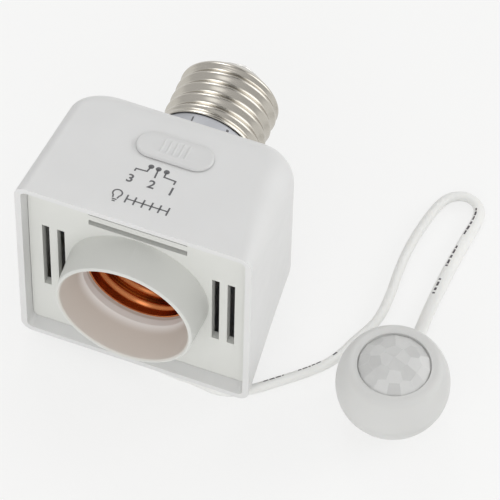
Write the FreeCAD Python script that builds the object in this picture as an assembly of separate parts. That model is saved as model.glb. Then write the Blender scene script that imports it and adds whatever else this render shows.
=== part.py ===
"""Lamp holder with a motion sensor on a cord: screw cap at the back, lamp socket in front, timer knob on top.

The frame: X to the right, Y from the lamp's side to the cap, Z up, with the table at Z = 0. Sizes are in mm.
"""
import FreeCAD
import Part
import math
import os
from FreeCAD import Vector

# Cord, which also carries the front edge of the housing
CORD_DIAMETER = 2.8

# Housing: a wedge that is square in front and lower at the back
FRONT_WIDTH = 60.2
FRONT_HEIGHT = 59.2
REAR_WIDTH = 56.8
REAR_HEIGHT = 46.2
DEPTH = 41.0
WALL = 1.6
REAR_WALL = 1.8
LONG_EDGE_RADIUS = 3.1
REAR_EDGE_RADIUS = 8.2
REAR_CORNER_RADIUS = 10.6
LEAST_RADIUS = 0.5

# Front cover, set back behind the housing's lip
COVER_RECESS = 3.4
COVER_THICKNESS = 2.0
COVER_CLEARANCE = 0.12
SKIRT_THICKNESS = 1.3
SKIRT_DEPTH = 7.0
SNAP_HEIGHT = 0.5
SNAP_LENGTH = 9.0
SNAP_CLEARANCE = 0.1

# Collar round the lamp's neck
COLLAR_LENGTH = 6.7
COLLAR_MOUTH_RADIUS = 16.6
COLLAR_RIM = 1.05
COLLAR_BASE_RADIUS = 18.3
COLLAR_CONE_END = 2.0

# Vents
VENT_WIDTH = 1.9
VENT_HEIGHT = 24.5
VENT_PITCH = 3.95
VENT_INNER_X = 19.95
TOP_VENT_LENGTH = 25.2
TOP_VENT_GAP = 0.35
TOP_VENT_PITCH = 3.8

# Lamp socket
SOCKET_SHELL_RADIUS = 13.35
SOCKET_SHELL_THICKNESS = 0.5
SOCKET_FRONT = 4.7
SOCKET_BODY_WALL = 1.3
SOCKET_END_LENGTH = 5.4
SOCKET_STEP = 1.0
SOCKET_FLOOR = 3.5
LEAD_SPACE = 7.7
LUG_WIDTH = 6.4
LUG_THICKNESS = 2.0
LUG_Y = 9.6
POST_RADIUS = 2.5
POST_OFFSET = 14.9
SCREW_RADIUS = 1.0
SCREW_HEAD_RADIUS = 1.9
SCREW_HEAD_HEIGHT = 1.3
CONTACT_WIDTH = 6.0
CONTACT_THICKNESS = 0.6
CONTACT_RISE = 4.6
CONTACT_REACH = 8.6
RIVET_RADIUS = 1.3

# Screw cap and its neck
CAP_RADIUS = 13.1
CAP_THICKNESS = 0.4
NECK_LENGTH = 7.0
CAP_THREAD_LENGTH = 16.0
CAP_SHOULDER = ((0.0, 0.0), (0.9, 0.2), (1.7, 0.9))
CAP_END_LENGTH = 5.0
CAP_END_RADIUS = 8.2
CAP_SPIGOT = 6.0
NECK_BORE = 10.2
NECK_FLANGE_RADIUS = 15.5
NECK_FLANGE = 1.8
INSULATOR_HEIGHT = 3.0
INSULATOR_RIM = 0.8
CONTACT_BUTTON_RADIUS = 3.6
CONTACT_BUTTON_HEIGHT = 1.1

# Timer switch on the sloping top
KNOB_X = 0.6
KNOB_FROM_BACK = 15.0
KNOB_LENGTH = 21.4
KNOB_WIDTH = 9.2
KNOB_HEIGHT = 1.7
KNOB_GAP = 0.15
KNOB_DISH_DEPTH = 0.7
KNOB_DISH_LENGTH = 17.6
KNOB_DISH_WIDTH = 6.4
RIB_COUNT = 5
RIB_PITCH = 2.3
RIB_WIDTH = 0.8
RIB_HEIGHT = 0.6
STEM_LENGTH = 5.0
STEM_WIDTH = 3.4
STEM_DEPTH = 2.1
STEM_CLEARANCE = 0.35
SWITCH_STEP = 2.3
SWITCH_STEPS = 2
LEVER_LENGTH = 2.0
LEVER_WIDTH = 1.4
SWITCH_BOSS_RADIUS = 2.2
SWITCH_BOSS_HEIGHT = 1.2
SWITCH_PLATE = 0.8
SWITCH_BODY_LENGTH = 12.6
SWITCH_BODY_WIDTH = 6.0
SWITCH_BODY_HEIGHT = 3.2
SWITCH_SCREW_X = 11.5

# Circuit board behind the socket
BOARD_STANDOFF = 2.9
BOARD_THICKNESS = 1.6
BOARD_WIDTH = 48.6
BOARD_HEIGHT = 34.6
BOARD_HOLE_RADIUS = 4.0
BOARD_SCREW_X = 21.5
BOARD_SCREW_Z = 14.2
BOARD_BOSS_RADIUS = 2.4
RELAY_SIZE = (8.2, 13.0, 17.6)
FILM_SIZE = (8.2, 9.5, 10.2)
ELCO_RADIUS = 4.1
ELCO_LENGTH = 12.5
FUSE_RADIUS = 1.8
FUSE_LENGTH = 13.0
FUSE_CAP = 3.0
CHIP_SIZE = (4.4, 1.7, 9.6)
PLUG_SIZE = (6.0, 5.0, 4.4)
LEAD_RADIUS = 0.8

# Strain relief under the housing, which carries its back
BOOT_X = -7.0
BOOT_FROM_BACK = 10.0
BOOT_POST_RADIUS = 3.2
BOOT_FOOT_RADIUS = 4.8
BOOT_FOOT_ROUND = 1.4
BOOT_GAP = 0.55
BOOT_FLANGE_RADIUS = 4.2
BOOT_FLANGE = 1.5
BOOT_NOSE_LENGTH = 10.0
BOOT_NOSE_BASE = 3.3
BOOT_NOSE_TIP = 2.3

# Sensor ball
BALL_X = 63.3
BALL_Y = 11.25
BALL_Z = 13.85
BALL_RADIUS = 14.0
BALL_WALL = 1.4
BALL_SPLIT = -1.2
BALL_TONGUE = 0.6
BALL_TONGUE_HEIGHT = 1.4
LENS_TILT = 6.0
LENS_TILT_AZIMUTH = -74.2
OPENING_RADIUS = 9.0
OPENING_STEP = 0.3
LENS_RADIUS = 8.4
LENS_DOME_RADIUS = 9.5
LENS_TOP = 12.0
LENS_THICKNESS = 0.9
LENS_FLANGE_RADIUS = 10.1
LENS_FLANGE = 0.8
FACET_RING_COUNTS = (1, 6, 11)
FACET_RING_TILTS = (0.0, 21.0, 44.0)
FACET_RING_AZIMUTHS = (0.0, 12.0, 0.0)
HOLDER_WALL = 1.1
SENSOR_BOARD_RADIUS = 10.4
SENSOR_BOARD_THICKNESS = 1.0
PIR_RADIUS = 4.6
PIR_HEIGHT = 4.2
PIR_WINDOW = (4.0, 3.0, 0.3)
PHOTOCELL_RADIUS = 1.4
PHOTOCELL_HEIGHT = 2.2
SENSOR_POST_RADIUS = 1.9
SENSOR_POST_CIRCLE = 7.0
SENSOR_SCREW_GRIP = 3.2
BUSHING_SLOPE = 30.0
BUSHING_AZIMUTH = 92.5
BUSHING_RADIUS = 2.7
BUSHING_TIP = 2.2
BUSHING_OUT = 2.2
BUSHING_IN = 1.2

BALL_CENTRE = Vector(BALL_X, BALL_Y, BALL_Z)
HALF_CORD = CORD_DIAMETER / 2
AXIS_Z = CORD_DIAMETER + FRONT_HEIGHT / 2
TOP_Z = AXIS_Z + FRONT_HEIGHT / 2
SIDE_TAPER = (FRONT_WIDTH - REAR_WIDTH) / 2 / DEPTH
TOP_TAPER = (FRONT_HEIGHT - REAR_HEIGHT) / 2 / DEPTH
TOP_SLOPE = math.degrees(math.atan(TOP_TAPER))
INNER_REAR = DEPTH - REAR_WALL
COVER_BACK = COVER_RECESS + COVER_THICKNESS
SHELL_OUTER = SOCKET_SHELL_RADIUS + SOCKET_SHELL_THICKNESS
BODY_OUTER = SHELL_OUTER + SOCKET_BODY_WALL
NECK_RADIUS = CAP_RADIUS - CAP_THICKNESS
CAP_START = DEPTH + NECK_LENGTH
CAP_BEND = CAP_START + CAP_THREAD_LENGTH
CAP_END = CAP_BEND + CAP_END_LENGTH
CAP_TIP = CAP_END + INSULATOR_HEIGHT + CONTACT_BUTTON_HEIGHT
BOARD_BACK = INNER_REAR - BOARD_STANDOFF
BOARD_FRONT = BOARD_BACK - BOARD_THICKNESS
SOCKET_BACK = BOARD_FRONT - LEAD_SPACE
SOCKET_FLOOR_Y = SOCKET_BACK - SOCKET_FLOOR
SOCKET_THREAD_END = SOCKET_FLOOR_Y - SOCKET_END_LENGTH
TRAVEL = SWITCH_STEP * SWITCH_STEPS
BOOT_Y = DEPTH - BOOT_FROM_BACK

# The origin goes on the table under the middle of the object, its cord apart
ORIGIN = Vector((BALL_CENTRE.x + BALL_RADIUS - FRONT_WIDTH / 2) / 2, (CAP_TIP - COLLAR_LENGTH) / 2, 0)

X, Y, Z = Vector(1, 0, 0), Vector(0, 1, 0), Vector(0, 0, 1)
DOCUMENT = FreeCAD.newDocument("lamp_holder")


def block(x0, x1, y0, y1, z0, z1):
    return Part.makeBox(x1 - x0, y1 - y0, z1 - z0, Vector(x0, y0, z0))


def rod(radius, y0, y1, x=0.0, z=AXIS_Z):
    """A cylinder along Y."""
    return Part.makeCylinder(radius, y1 - y0, Vector(x, y0, z), Y)


def turned(profile):
    """A solid of revolution about the lamp's axis, from (y, radius) points."""
    points = [Vector(0, y, AXIS_Z + r) for y, r in profile]
    face = Part.Face(Part.makePolygon(points + points[:1]))
    return face.revolve(Vector(0, 0, AXIS_Z), Y, 360)


def half_width(y):
    return FRONT_WIDTH / 2 - SIDE_TAPER * y


def half_height(y):
    return FRONT_HEIGHT / 2 - TOP_TAPER * y


def wedge(inset, y0, y1):
    """The housing's flat-sided outline, set in by inset and cut from y0 to y1."""
    side = inset * math.hypot(1, SIDE_TAPER)
    top = inset * math.hypot(1, TOP_TAPER)
    ends = []
    for y in (y0, y1):
        w, h = half_width(y) - side, half_height(y) - top
        ends.append([Vector(sx * w, y, AXIS_Z + sz * h) for sx, sz in ((-1, -1), (1, -1), (1, 1), (-1, 1))])
    front, back = ends
    quads = ends + [[front[i], front[(i + 1) % 4], back[(i + 1) % 4], back[i]] for i in range(4)]
    return Part.Solid(Part.Shell([Part.Face(Part.makePolygon(quad + quad[:1])) for quad in quads]))


def rounded_wedge(inset, y0, y1):
    """The outline with its back corners rounded in plan, and edges whose radius grows from the sides to the back."""
    corner, rear, along = [max(r - inset, LEAST_RADIUS)
                           for r in (REAR_CORNER_RADIUS, REAR_EDGE_RADIUS, LONG_EDGE_RADIUS)]
    solid = wedge(inset, y0, y1)
    upright = [e for e in solid.Edges
               if all(abs(v.Y - y1) < 1e-6 for v in e.Vertexes) and abs(e.tangentAt(e.FirstParameter).z) > 0.9]
    solid = solid.makeFillet(corner, upright)
    flat = [f for f in solid.Faces if isinstance(f.Surface, Part.Plane)]
    rims = [e for sign in (1, -1) for e in max(flat, key=lambda f: sign * f.CenterOfMass.z).Edges]
    radii = []
    for number, edge in enumerate(solid.Edges, 1):
        ends = [edge.valueAt(t).y for t in (edge.FirstParameter, edge.LastParameter)]
        if any(edge.isSame(rim) for rim in rims) and max(ends) > y0 + 1e-6:
            on_corner = isinstance(edge.Curve, (Part.Circle, Part.Ellipse, Part.BSplineCurve))
            at_back = max(ends) - 1e-6
            sizes = [rear if y > at_back and (on_corner or min(ends) > at_back) else along for y in ends]
            radii.append((number, sizes[0], sizes[1]))
    base = DOCUMENT.addObject("Part::Feature", "Outline")
    base.Shape = solid
    fillet = DOCUMENT.addObject("Part::Fillet", "Rounded")
    fillet.Base = base
    fillet.Edges = radii
    DOCUMENT.recompute()
    return fillet.Shape.copy()


def cavity(clearance=0.0):
    """The space inside the housing's walls, less a clearance, which the cover and its skirt fit."""
    return rounded_wedge(WALL + clearance, -1.0, INNER_REAR)


def on_top(solid):
    """Places a solid made on the XY plane onto the sloping top: its Y runs down the slope, its Z stands out."""
    solid = solid.copy()
    solid.rotate(Vector(0, 0, 0), X, -TOP_SLOPE)
    solid.translate(Vector(0, 0, TOP_Z))
    return solid


def stadium(length, width, z0, z1, x, y):
    """A slab with round ends along X."""
    r, half = width / 2, (length - width) / 2
    body = block(x - half, x + half, y - r, y + r, z0, z1)
    for sign in (-1, 1):
        body = body.fuse(Part.makeCylinder(r, z1 - z0, Vector(x + sign * half, y, z0)))
    return body.removeSplitter()


KNOB_S = (DEPTH - KNOB_FROM_BACK) / math.cos(math.radians(TOP_SLOPE))
SWITCH_PLATE_TOP = -WALL - SWITCH_BOSS_HEIGHT
BOARD_SCREWS = [(sx * BOARD_SCREW_X, AXIS_Z + sz * BOARD_SCREW_Z) for sx in (-1, 1) for sz in (-1, 1)]
SOCKET_POSTS = [(s * POST_OFFSET, AXIS_Z + s * POST_OFFSET) for s in (-1, 1)]


def snaps(clearance=0.0):
    """Rounded catches on the cover's skirt, or with a clearance the pockets that they click into."""
    y = COVER_BACK + SKIRT_DEPTH / 2
    radius = 2.0 * SNAP_HEIGHT
    bars = []
    for sign in (-1, 1):
        wall = sign * (half_width(y) - (WALL + COVER_CLEARANCE) * math.hypot(1, SIDE_TAPER))
        length = SNAP_LENGTH + 2 * clearance
        bars.append(Part.makeCylinder(radius + clearance, length,
                                      Vector(wall - sign * (radius - SNAP_HEIGHT), y, AXIS_Z - length / 2), Z))
    return bars


def make_housing():
    shell = rounded_wedge(0.0, 0.0, DEPTH).cut(cavity())
    for x, z in BOARD_SCREWS:
        boss = rod(BOARD_BOSS_RADIUS, BOARD_BACK, INNER_REAR + REAR_WALL / 2, x, z)
        shell = shell.fuse(boss).cut(rod(SCREW_RADIUS, BOARD_BACK, INNER_REAR, x, z))
    for sign in (-1, 1):
        centre = Vector(KNOB_X - TRAVEL / 2 + sign * SWITCH_SCREW_X, KNOB_S, SWITCH_PLATE_TOP)
        boss = Part.makeCylinder(SWITCH_BOSS_RADIUS, -WALL / 2 - SWITCH_PLATE_TOP, centre)
        pilot = Part.makeCylinder(SCREW_RADIUS * 0.8, -WALL - SWITCH_PLATE_TOP, centre)
        shell = shell.fuse(on_top(boss)).cut(on_top(pilot))
    reach = STEM_LENGTH / 2 + STEM_CLEARANCE
    slot = block(KNOB_X - TRAVEL - reach, KNOB_X + reach, KNOB_S - STEM_WIDTH / 2 - STEM_CLEARANCE,
                 KNOB_S + STEM_WIDTH / 2 + STEM_CLEARANCE, -WALL - 1, 1)
    shell = shell.cut(on_top(slot))
    shell = shell.cut(rod(NECK_RADIUS, INNER_REAR - 1, DEPTH + 1))
    shell = shell.cut(Part.makeCylinder(BOOT_POST_RADIUS, AXIS_Z, Vector(BOOT_X, BOOT_Y, 0)))
    for pocket in snaps(SNAP_CLEARANCE):
        shell = shell.cut(pocket)
    return shell.removeSplitter()


def make_cover():
    fit = cavity(COVER_CLEARANCE)
    panel = fit.common(block(-FRONT_WIDTH, FRONT_WIDTH, COVER_RECESS, COVER_BACK, 0, 2 * TOP_Z))
    inner = wedge(WALL + COVER_CLEARANCE + SKIRT_THICKNESS, -1.0, INNER_REAR)
    skirt = fit.common(block(-FRONT_WIDTH, FRONT_WIDTH, COVER_BACK, COVER_BACK + SKIRT_DEPTH, 0, 2 * TOP_Z))
    cover = panel.fuse(skirt.cut(inner))
    for bar in snaps():
        cover = cover.fuse(bar)
    cover = cover.cut(inner.common(block(-FRONT_WIDTH, FRONT_WIDTH, COVER_BACK, INNER_REAR, 0, 2 * TOP_Z)))
    rim = COLLAR_RIM * 0.4
    collar = turned([(-COLLAR_LENGTH + rim, COLLAR_MOUTH_RADIUS), (-COLLAR_LENGTH, COLLAR_MOUTH_RADIUS + rim),
                     (-COLLAR_LENGTH, COLLAR_MOUTH_RADIUS + COLLAR_RIM - rim),
                     (-COLLAR_LENGTH + rim, COLLAR_MOUTH_RADIUS + COLLAR_RIM),
                     (COVER_RECESS + 0.5, COLLAR_BASE_RADIUS), (COVER_BACK, COLLAR_BASE_RADIUS),
                     (COVER_BACK, BODY_OUTER), (SOCKET_FRONT, BODY_OUTER), (SOCKET_FRONT, SHELL_OUTER),
                     (COLLAR_CONE_END, SHELL_OUTER)])
    hole = rod(COLLAR_BASE_RADIUS - 0.5, COVER_RECESS - 1, COVER_BACK + 1)
    cover = cover.cut(hole).fuse(collar)
    for sign in (-1, 1):
        for i in range(2):
            x = sign * (VENT_INNER_X + i * VENT_PITCH)
            cover = cover.cut(block(x - VENT_WIDTH / 2, x + VENT_WIDTH / 2, 0, COVER_BACK + 1,
                                    AXIS_Z - VENT_HEIGHT / 2, AXIS_Z + VENT_HEIGHT / 2))
    for i in range(2):
        z = AXIS_Z + COLLAR_BASE_RADIUS + TOP_VENT_GAP + i * TOP_VENT_PITCH
        cover = cover.cut(block(-TOP_VENT_LENGTH / 2, TOP_VENT_LENGTH / 2, 0, COVER_BACK + 1, z, z + VENT_WIDTH))
    for x, z in SOCKET_POSTS:
        cover = cover.fuse(rod(POST_RADIUS, COVER_BACK - COVER_THICKNESS / 2, LUG_Y, x, z))
        cover = cover.cut(rod(SCREW_RADIUS, COVER_BACK, LUG_Y, x, z))
    return cover.removeSplitter()


def socket_well(radius, bottom, mouth):
    """The form of the lamp socket's hollow: the threaded width, then a step in to a narrower end."""
    return turned([(mouth, 0), (mouth, radius), (SOCKET_THREAD_END, radius),
                   (SOCKET_THREAD_END + SOCKET_STEP, radius - SOCKET_STEP),
                   (bottom, radius - SOCKET_STEP), (bottom, 0)])


def make_socket():
    body = rod(BODY_OUTER, SOCKET_FRONT, SOCKET_BACK)
    lug = block(-POST_OFFSET * math.sqrt(2) - LUG_WIDTH / 2, POST_OFFSET * math.sqrt(2) + LUG_WIDTH / 2,
                LUG_Y, LUG_Y + LUG_THICKNESS, AXIS_Z - LUG_WIDTH / 2, AXIS_Z + LUG_WIDTH / 2)
    lug.rotate(Vector(0, 0, AXIS_Z), Y, -45)
    body = body.fuse(lug).cut(socket_well(SHELL_OUTER, SOCKET_FLOOR_Y, 0.0))
    body = body.cut(rod(RIVET_RADIUS, SOCKET_FLOOR_Y - 1, SOCKET_BACK + 1, 0, AXIS_Z - CONTACT_REACH))
    body = body.cut(rod(LEAD_RADIUS, SOCKET_FLOOR_Y - 1, SOCKET_BACK + 1, -SOCKET_SHELL_RADIUS * 0.7))
    for x, z in SOCKET_POSTS:
        body = body.cut(rod(SCREW_RADIUS, LUG_Y - 1, LUG_Y + LUG_THICKNESS + 1, x, z))
    shell = socket_well(SHELL_OUTER, SOCKET_FLOOR_Y, SOCKET_FRONT)
    shell = shell.cut(socket_well(SOCKET_SHELL_RADIUS, SOCKET_FLOOR_Y - SOCKET_SHELL_THICKNESS, 0.0))
    shell = shell.cut(rod(CONTACT_REACH + 3.4, SOCKET_FRONT, SOCKET_FLOOR_Y + 1))

    t = CONTACT_THICKNESS
    floor, low = SOCKET_FLOOR_Y, AXIS_Z - CONTACT_REACH
    top = floor - CONTACT_RISE
    path = [(floor, low - 2.6), (floor, low + 3.4), (top + t, AXIS_Z - 3.0), (top + t, AXIS_Z + 2.4),
            (top + t + 1.2, AXIS_Z + 3.6), (top + 1.2, AXIS_Z + 4.2), (top, AXIS_Z + 3.0), (top, AXIS_Z - 3.4),
            (floor - t, low + 2.9), (floor - t, low - 2.6)]
    points = [Vector(-CONTACT_WIDTH / 2, y, z) for y, z in path]
    contact = Part.Face(Part.makePolygon(points + points[:1])).extrude(Vector(CONTACT_WIDTH, 0, 0))
    contact = contact.cut(rod(RIVET_RADIUS, floor - t - 1, floor + 1, 0, low))

    rivet = rod(RIVET_RADIUS, floor - t, SOCKET_BACK, 0, low)
    rivet = rivet.fuse(rod(RIVET_RADIUS * 1.8, floor - t - 0.8, floor - t, 0, low))
    rivet = rivet.fuse(rod(RIVET_RADIUS * 1.6, SOCKET_BACK, SOCKET_BACK + 0.7, 0, low))
    return body, shell, contact, rivet


def screw(radius, length, head_radius, head_height):
    """A pan-head screw that points down, with its head's seat at the origin and a cross recess."""
    head = Part.makeCylinder(head_radius, head_height, Vector(0, 0, 0))
    head = head.makeFillet(head_height * 0.45, [head.Edges[0]])
    body = Part.makeCylinder(radius, length, Vector(0, 0, -length)).fuse(head)
    arm = head_radius * 0.6
    for a, b in ((arm, 0.25), (0.25, arm)):
        body = body.cut(block(-a, a, -b, b, head_height * 0.5, head_height + 1))
    return body


def screws_at(centres, direction, length, radius=SCREW_RADIUS, head=SCREW_HEAD_RADIUS, height=SCREW_HEAD_HEIGHT):
    """A set of screws whose heads stand out along direction."""
    turn = FreeCAD.Rotation(Z, direction)
    placed = []
    for centre in centres:
        one = screw(radius, length, head, height)
        one.Placement = FreeCAD.Placement(centre, turn)
        placed.append(one)
    return Part.makeCompound(placed)


def make_cap():
    neck = turned([(INNER_REAR - NECK_FLANGE, NECK_BORE), (CAP_START + CAP_SPIGOT, NECK_BORE),
                   (CAP_START + CAP_SPIGOT, NECK_RADIUS), (INNER_REAR, NECK_RADIUS),
                   (INNER_REAR, NECK_FLANGE_RADIUS), (INNER_REAR - NECK_FLANGE, NECK_FLANGE_RADIUS)])
    t = CAP_THICKNESS
    outer = [(CAP_BEND + along, CAP_RADIUS - inwards) for along, inwards in CAP_SHOULDER] + [(CAP_END, CAP_END_RADIUS)]
    along, inwards = CAP_SHOULDER[-1]
    slope = (CAP_RADIUS - inwards - CAP_END_RADIUS) / (CAP_END_LENGTH - along)
    depth = t * math.hypot(1, 1 / slope)
    inner = [(CAP_BEND - t / 2, CAP_RADIUS - t)] + [(y - depth, r) for y, r in outer[-2:]]
    shell = turned([(CAP_START, CAP_RADIUS)] + outer + inner[::-1] + [(CAP_START, CAP_RADIUS - t)])
    seat = CAP_END - depth
    insulator = turned([(seat - INSULATOR_RIM, 0), (seat - INSULATOR_RIM, CAP_END_RADIUS + slope * INSULATOR_RIM),
                        (seat, CAP_END_RADIUS), (CAP_END, CAP_END_RADIUS),
                        (CAP_END + INSULATOR_HEIGHT, CONTACT_BUTTON_RADIUS), (CAP_END + INSULATOR_HEIGHT, 0)])
    insulator = insulator.cut(rod(LEAD_RADIUS, CAP_BEND, CAP_END + INSULATOR_HEIGHT + 1))
    button = rod(CONTACT_BUTTON_RADIUS, CAP_END + INSULATOR_HEIGHT, CAP_END + INSULATOR_HEIGHT + CONTACT_BUTTON_HEIGHT)
    rim = [e for e in button.Edges if e.Closed and e.CenterOfMass.y > CAP_END + INSULATOR_HEIGHT + 0.1]
    return neck, shell, insulator, button.makeFillet(CONTACT_BUTTON_HEIGHT * 0.6, rim)


def make_knob():
    top = KNOB_GAP + KNOB_HEIGHT
    knob = stadium(KNOB_LENGTH, KNOB_WIDTH, KNOB_GAP, top, KNOB_X, KNOB_S)
    rim = [e for e in knob.Edges if all(abs(v.Z - top) < 1e-6 for v in e.Vertexes)]
    knob = knob.makeFillet(KNOB_HEIGHT * 0.45, rim)
    depth = KNOB_DISH_DEPTH
    chord = KNOB_DISH_WIDTH / 2
    radius = (chord ** 2 + depth ** 2) / (2 * depth)
    dish = Part.makeCylinder(radius, KNOB_DISH_LENGTH - KNOB_DISH_WIDTH,
                             Vector(KNOB_X - (KNOB_DISH_LENGTH - KNOB_DISH_WIDTH) / 2, KNOB_S, top - depth + radius), X)
    for sign in (-1, 1):
        end = Part.makeSphere(radius, Vector(KNOB_X + sign * (KNOB_DISH_LENGTH - KNOB_DISH_WIDTH) / 2, KNOB_S,
                                             top - depth + radius))
        dish = dish.fuse(end)
    knob = knob.cut(dish)
    for i in range(RIB_COUNT):
        x = KNOB_X + (i - (RIB_COUNT - 1) / 2) * RIB_PITCH
        reach = chord * 0.72
        rib = block(x - RIB_WIDTH / 2, x + RIB_WIDTH / 2, KNOB_S - reach, KNOB_S + reach,
                    top - depth - 0.3, top - depth + RIB_HEIGHT)
        knob = knob.fuse(rib)
    stem_bottom = KNOB_GAP - WALL - STEM_DEPTH + 1.2
    stem = block(KNOB_X - STEM_LENGTH / 2, KNOB_X + STEM_LENGTH / 2, KNOB_S - STEM_WIDTH / 2,
                 KNOB_S + STEM_WIDTH / 2, stem_bottom, KNOB_GAP + KNOB_HEIGHT / 2 - 0.2)
    knob = knob.fuse(stem)
    lever_top = KNOB_GAP - 0.2
    socket = block(KNOB_X - LEVER_LENGTH / 2, KNOB_X + LEVER_LENGTH / 2, KNOB_S - LEVER_WIDTH / 2,
                   KNOB_S + LEVER_WIDTH / 2, stem_bottom - 1, lever_top)
    return on_top(knob.cut(socket).removeSplitter()), lever_top


def make_switch(lever_top):
    """The slide switch under the top: its body with the plate, and the lever that the knob moves."""
    middle = KNOB_X - TRAVEL / 2
    plate_bottom = SWITCH_PLATE_TOP - SWITCH_PLATE
    body_bottom = plate_bottom - SWITCH_BODY_HEIGHT
    plate = stadium(2 * (SWITCH_SCREW_X + SWITCH_BOSS_RADIUS), 2 * SWITCH_BOSS_RADIUS + 1.0,
                    plate_bottom, SWITCH_PLATE_TOP, middle, KNOB_S)
    body = block(middle - SWITCH_BODY_LENGTH / 2, middle + SWITCH_BODY_LENGTH / 2, KNOB_S - SWITCH_BODY_WIDTH / 2,
                 KNOB_S + SWITCH_BODY_WIDTH / 2, body_bottom, plate_bottom)
    body = body.fuse(plate)
    reach = LEVER_LENGTH / 2 + STEM_CLEARANCE
    lane = block(KNOB_X - TRAVEL - reach, KNOB_X + reach, KNOB_S - LEVER_WIDTH / 2 - STEM_CLEARANCE / 2,
                 KNOB_S + LEVER_WIDTH / 2 + STEM_CLEARANCE / 2, body_bottom + 0.8, SWITCH_PLATE_TOP + 1)
    body = body.cut(lane)
    for sign in (-1, 1):
        body = body.cut(Part.makeCylinder(SCREW_RADIUS * 0.8, 10, Vector(middle + sign * SWITCH_SCREW_X, KNOB_S,
                                                                         plate_bottom - 5)))
    pin_y = KNOB_S + SWITCH_BODY_WIDTH / 2 - 0.8
    for i in range(3):
        x = middle + (i - 1) * SWITCH_STEP * 1.4
        body = body.fuse(block(x - 0.4, x + 0.4, pin_y - 0.2, pin_y + 0.2, body_bottom - 1.4, body_bottom))
    lever = block(KNOB_X - LEVER_LENGTH / 2, KNOB_X + LEVER_LENGTH / 2, KNOB_S - LEVER_WIDTH / 2,
                  KNOB_S + LEVER_WIDTH / 2, body_bottom + 1.0, lever_top)
    down = Vector(0, -math.sin(math.radians(TOP_SLOPE)), -math.cos(math.radians(TOP_SLOPE)))
    seats = [on_top(Part.Vertex(middle + sign * SWITCH_SCREW_X, KNOB_S, plate_bottom)).Point for sign in (-1, 1)]
    screws = screws_at(seats, down, SWITCH_PLATE + SWITCH_BOSS_HEIGHT, SCREW_RADIUS * 0.8, 1.5, 0.9)
    return on_top(body.removeSplitter()), on_top(lever), screws


def tube(points, radius):
    """A round cord along straight runs joined by arcs as large as the runs allow; prints the arcs' radii."""
    edges, start, radii = [], points[0], []
    for before, corner, after in zip(points, points[1:], points[2:]):
        arriving, leaving = corner - before, after - corner
        half_turn = arriving.getAngle(leaving) / 2
        cut = 0.45 * min(arriving.Length, leaving.Length)
        radii.append(cut / math.tan(half_turn))
        arriving.normalize()
        leaving.normalize()
        first, last = corner - arriving * cut, corner + leaving * cut
        inward = leaving - arriving
        inward.normalize()
        middle = corner + inward * (radii[-1] / math.cos(half_turn) - radii[-1])
        edges += [Part.LineSegment(start, first).toShape(), Part.Arc(first, middle, last).toShape()]
        start = last
    edges.append(Part.LineSegment(start, points[-1]).toShape())
    wire = Part.Wire(edges)
    circle = Part.Wire([Part.Circle(points[0], points[1] - points[0], radius).toShape()])
    solid = wire.makePipeShell([circle], True, False)
    expected = math.pi * radius ** 2 * wire.Length
    print("tube length %.1f, volume %.4f of section times length, radii %s"
          % (wire.Length, solid.Volume / expected, [round(r, 1) for r in radii]))
    return solid


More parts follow.
